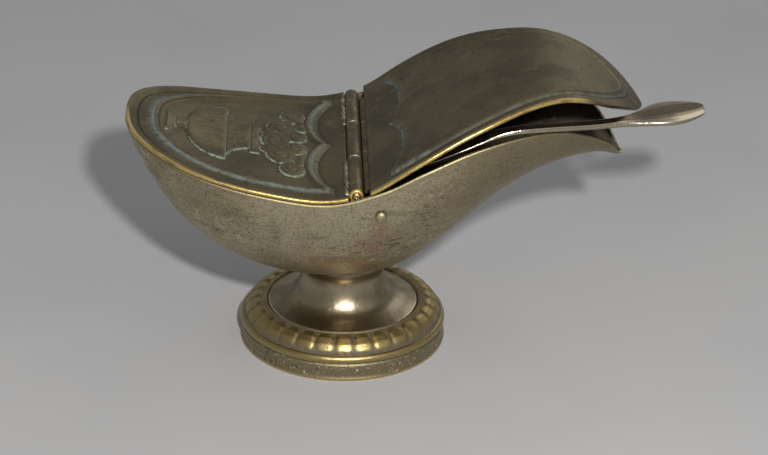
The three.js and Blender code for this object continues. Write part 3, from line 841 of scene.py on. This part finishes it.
def make_stem():
    stem_low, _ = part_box("stem")
    seat = stem_low.z / MM
    outer = spline([
        (STEM_FLARE_R, seat + 0.7), (24.2, seat + 1.3), (22.4, 13.3), (19.4, 13.9), (16.8, 15.4),
        (15, 17.8), (13.9, 20.6), (13.4, 23.2), (13.6, 25.4), (STEM_TOP_R, 27.6),
    ], 6)
    inner = [
        (SCREW_HOLE_R, 21), (9.6, 21), (10.7, 19), (13, 15.6), (17, 13.2), (22.8, seat + 0.6),
        (22.8, seat),
    ]
    top = [(radius, INSIDE_BOWL_Z) for radius in (STEM_TOP_R, 10, 5, SCREW_HOLE_R)]
    profile = [*inner, (STEM_FLARE_R, seat), *outer.tolist(), *top]

    def follow_bowl(radius, z, angle):
        under = bowl_underside(FOOT_X + radius * np.cos(angle), radius * np.sin(angle)) - GAP
        return np.minimum(z, under)

    points, faces = revolve(profile, 160, follow_bowl)
    radius = np.hypot(points[:, 0] - FOOT_X, points[:, 1])
    # Painted highlight: the ring at the flare's lower rim is painted lighter.
    lower_rim_highlight = ridge(radius, 24.3, 0.5) * (points[:, 2] < 13.2)
    # Painted shade: the stem is painted darker just under the bowl.
    shade_under_bowl = 0.5 * step(points[:, 2], 25, 28)
    piece = new_mesh("stem_spool", points, faces, "hull", ["stem"],
                     {"high": lower_rim_highlight, "patina_and_shade": shade_under_bowl})
    coat(piece, STEM_SILVER)


def gadroon_field(radius, angle):
    """(height, hollow, lobe) of the ring of lobes, with a small tapered dart between each two."""
    across = (angle * GADROONS / (2 * math.pi)) % 1 - 0.5
    middle, reach = (GADROON_INNER_R + GADROON_OUTER_R) / 2, (GADROON_OUTER_R - GADROON_INNER_R) / 2
    along = (radius - middle) / reach
    ends = np.where(along < 0, np.abs(along) ** 2.4, np.abs(along) ** 7)
    inside = 1 - np.abs(across / 0.475) ** 4 - ends
    lobe = np.sqrt(np.clip(inside, 0, 1)) * (np.abs(along) <= 1)
    taper = np.clip(0.05 + 0.03 * along, 0.01, 1)
    dart = np.clip(1 - (0.5 - np.abs(across)) / taper, 0, 1) * (np.abs(along) < 0.95)
    height = GADROON_HEIGHT * lobe + 0.3 * dart - 0.25 * (np.abs(along) <= 1)
    patina_and_shade = np.where(np.abs(along) <= 1.02, (1 - step(lobe, 0.15, 0.6)) * (1 - 0.4 * dart), 0)
    return height, patina_and_shade, lobe


def make_foot():
    arc = np.linspace(math.pi / 2, -math.pi / 2, 12)
    roll = [(FOOT_R - 1.2 + ROLL_R * math.cos(a), ROLL_Z + ROLL_R * math.sin(a)) for a in arc]
    crown = spline([(24.9, 12.6), (25.2, 13.1), (25.5, 13.2), (25.8, 12.9), (26, 13), (26.3, 13),
                    (28.6, 12.5), (30.6, 11.2), (32, 9.6), (32.2, 9.1), (32.5, 9.1), (32.6, 8.7)], 1)
    fine, coarse = np.linspace(0, 1, 70), np.linspace(0, 1, len(crown))
    crown = np.column_stack([np.interp(fine, coarse, crown[:, k]) for k in range(2)])
    band = [(FOOT_R + 0.05 * math.sin(2.2 * z), z) for z in np.linspace(5.5, 1.1, 9)]
    lip = [(FOOT_R + 0.28, 0.75), (FOOT_R + 0.3, 0.3), (FOOT_R + 0.1, 0)]
    inside = [(30.8, 0), (31.4, 0.6), (31.5, 7), (29, 9.4), (21, 9.4), (21, 11.2), (STEM_FLARE_R, 11.2)]
    profile = [*crown.tolist(), *roll, *band, *lip, *inside][::-1]

    def lift(radius, z, angle):
        on_top = (z > 9.3) & (radius > 25)
        return z + np.where(on_top, gadroon_field(radius, angle)[0], 0)

    points, faces = revolve(profile, GADROONS * 16, lift)
    x, y, z = points.T
    radius = np.hypot(x - FOOT_X, y)
    _, patina_and_shade, lobe = gadroon_field(radius, np.arctan2(y, x - FOOT_X))
    on_top = (z > 9.2) & (radius < 32.15)
    outside = radius > 32
    beads = on_top & (radius > 24.8) & (radius < 26.2)
    piece = new_mesh("gadrooned_foot", points, faces, "hull", ["foot_ring"], {
        "high": np.where(on_top, lobe, 0) + 0.9 * (outside & (z > 6.2) & (z < 8.7)) + 0.3 * beads,
        "patina_and_shade": np.where(on_top, patina_and_shade, 0) + 0.8 * (~on_top & outside & (z > 8.7)) + 0.4 * beads,
        "band": (outside & (z < 6.2) & (z > 0.9)).astype(float),
        "edge": (outside & (z < 0.8)).astype(float),
    })
    coat(piece, FOOT_BRASS)


# ---------------------------------------------------------------- spoon


def unit(vectors):
    return vectors / np.linalg.norm(vectors, axis=1)[:, None]


def make_spoon():
    line = spline(SPOON_LINE, 60)
    lengths = np.concatenate([[0], np.cumsum(np.linalg.norm(np.diff(line, axis=0), axis=1))])
    shares = np.concatenate([stations(0, 0.2, 60, blunt_end=False), np.linspace(0.203, 0.72, 130),
                             stations(0.723, 1, 90, blunt_start=False)])
    centre = np.column_stack([np.interp(shares * lengths[-1], lengths, line[:, k]) for k in range(3)])
    along = unit(np.gradient(centre, axis=0))
    side = unit(np.cross(along, (0, 0, 1)))
    lift = np.cross(side, along)
    half_width = curve_through(SPOON_HALF_WIDTH)(shares)
    cup = curve_through(SPOON_CUP)(shares)
    half = curve_through(SPOON_THICKNESS)(shares) / 2
    s = stations(-1, 1, 29)
    bevel = 1 - step(shares, 0.2, 0.3)
    rings, high, patina_and_shade = [], [], []
    for i, share in enumerate(shares):
        dish = -cup[i] * (1 - s * s)
        rounded = half[i] * (0.35 + 0.65 * np.sqrt(1 - s * s))
        shoulder = bevel[i] * 0.55 * step(np.abs(s), 0.5, 1.0)
        mark = MARK_DEPTH * ridge(np.hypot((share - 0.05) / 0.02, s / 0.35), 1, 0.35)
        over = dish + half[i] - shoulder - 0.2 * half[i] * s**6 - mark
        under = dish - rounded
        across = np.concatenate([s, s[::-1]]) * half_width[i]
        rise = np.concatenate([over, under[::-1]])
        rings.append(centre[i] + across[:, None] * side[i] + rise[:, None] * lift[i])
        # Painted highlight: the spoon's edges are painted lighter, on the underside at half strength.
        edge = step(np.abs(s), 0.55, 0.8)
        # Painted shade: the flat top of the handle is painted darker.
        flat = bevel[i] * (1 - step(np.abs(s), 0.4, 0.55)) * 0.75
        high.append(np.concatenate([edge, 0.5 * edge]))
        # The mark is darker as patina in its dent; the underside is painted darker all along, as painted
        # shade.
        patina_and_shade.append(np.concatenate([np.maximum(flat, 4 * mark), 0 * s + 0.4]))
    points, faces = closed_rings(rings)
    end_fans = [0, 0]
    attributes = {
        "high": np.append(np.ravel(high), end_fans),
        "patina_and_shade": np.append(np.ravel(patina_and_shade), end_fans),
    }
    piece = new_mesh("spoon_body", points, faces, "spoon", ["spoon"], attributes)
    coat(piece, SPOON_SILVER)


# ---------------------------------------------------------------- the whole object

make_bowl()
make_stern_cover()
make_lid()
make_hinge()
make_solder()
make_rivet("rivet_near_side", "rivet_near", -1)
make_rivet("rivet_far_side", "rivet_far", 1)
make_stem()
make_foot()
make_spoon()

CARRIED_OVER = [
    ("hinge_leaf", HINGE_BRASS, "hinge_brass", 0.2),
    ("cross_bar", HINGE_BRASS, "hinge_brass", 0.25),
    ("tie_screw", DULL_STEEL, "dull_steel", 0.15),
    ("tie_washer", DULL_STEEL, "dull_steel", 0.2),
    ("tie_nut", DULL_STEEL, "dull_steel", 0.25),
]
for node, material, slot, edge in CARRIED_OVER:
    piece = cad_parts[node]
    coat(piece, material)
    soften(piece, edge)

# ---------------------------------------------------------------- floor, light and camera


FLOOR_HALF = 4.0
LAMP_TARGET = (0, 0, 0.05)


def make_floor():
    mesh = bpy.data.meshes.new("floor")
    corners = [(-1, -1), (1, -1), (1, 1), (-1, 1)]
    mesh.from_pydata([(FLOOR_HALF * x, FLOOR_HALF * y, 0) for x, y in corners], [], [(0, 1, 2, 3)])
    floor = bpy.data.objects.new("floor", mesh)
    bpy.context.scene.collection.objects.link(floor)
    cloth = Metal("pale_cloth", (0.55, 0.555, 0.575), 0.95, 0.0)
    cloth.layer(cloth.noise(90, 0.35, 0.7), colour=(0.52, 0.53, 0.56))
    floor.data.materials.append(cloth.done())


def aim(thing, position, target):
    """Puts a lamp at position, looking at target, both in metres."""
    thing.location = position
    direction = Vector(target) - Vector(position)
    thing.rotation_euler = direction.to_track_quat("-Z", "Y").to_euler()


def make_lamp(name, position, size, power, colour):
    """A round lamp, size metres across, that shines on the bowl."""
    lamp = bpy.data.lights.new(name, "AREA")
    lamp.shape = "DISK"
    lamp.size = size
    lamp.energy = power
    lamp.color = colour
    holder = bpy.data.objects.new(name, lamp)
    bpy.context.scene.collection.objects.link(holder)
    aim(holder, position, LAMP_TARGET)


# The camera looks at AIM from DISTANCE away, turned a little to the left and leaning by CAMERA_ROLL.
AIM = row((10.16, 0, 38.23))
DISTANCE = 0.80117
AZIMUTH = -0.0411
ELEVATION = 0.4557
CAMERA_ROLL = 0.02
LENS = 115.64


def make_camera():
    back = Vector((math.sin(AZIMUTH) * math.cos(ELEVATION), -math.cos(AZIMUTH) * math.cos(ELEVATION),
                   math.sin(ELEVATION)))
    right = (-back).cross(Vector((0, 0, 1))).normalized()
    up = right.cross(-back)
    c, s = math.cos(CAMERA_ROLL), math.sin(CAMERA_ROLL)
    turned_right, turned_up = c * right + s * up, c * up - s * right
    data = bpy.data.cameras.new("camera")
    data.lens = LENS
    data.sensor_width = 36
    data.clip_start = 0.05
    camera = bpy.data.objects.new("camera", data)
    bpy.context.scene.collection.objects.link(camera)
    place = Vector(AIM) + back * DISTANCE
    camera.matrix_world = Matrix([
        (turned_right.x, turned_up.x, back.x, place.x),
        (turned_right.y, turned_up.y, back.y, place.y),
        (turned_right.z, turned_up.z, back.z, place.z),
        (0, 0, 0, 1),
    ])
    bpy.context.scene.camera = camera


def make_world():
    world = bpy.data.worlds.new("studio")
    world.use_nodes = True
    background = world.node_tree.nodes["Background"]
    background.inputs["Color"].default_value = (1.0, 0.99, 0.96, 1)
    background.inputs["Strength"].default_value = 0.25
    bpy.context.scene.world = world


make_floor()
make_world()
WARM = (1, 0.97, 0.92)
PALE = (1, 0.98, 0.95)
make_lamp("key", row((60, -700, 475)), 0.035, 5.4, WARM)
make_lamp("fill_right", (0.9, -0.6, 0.9), 1.0, 0.6, PALE)
make_lamp("fill_back", (0.5, 0.9, 0.8), 0.8, 1.2, PALE)
make_camera()
bpy.context.scene.view_settings.view_transform = "Standard"
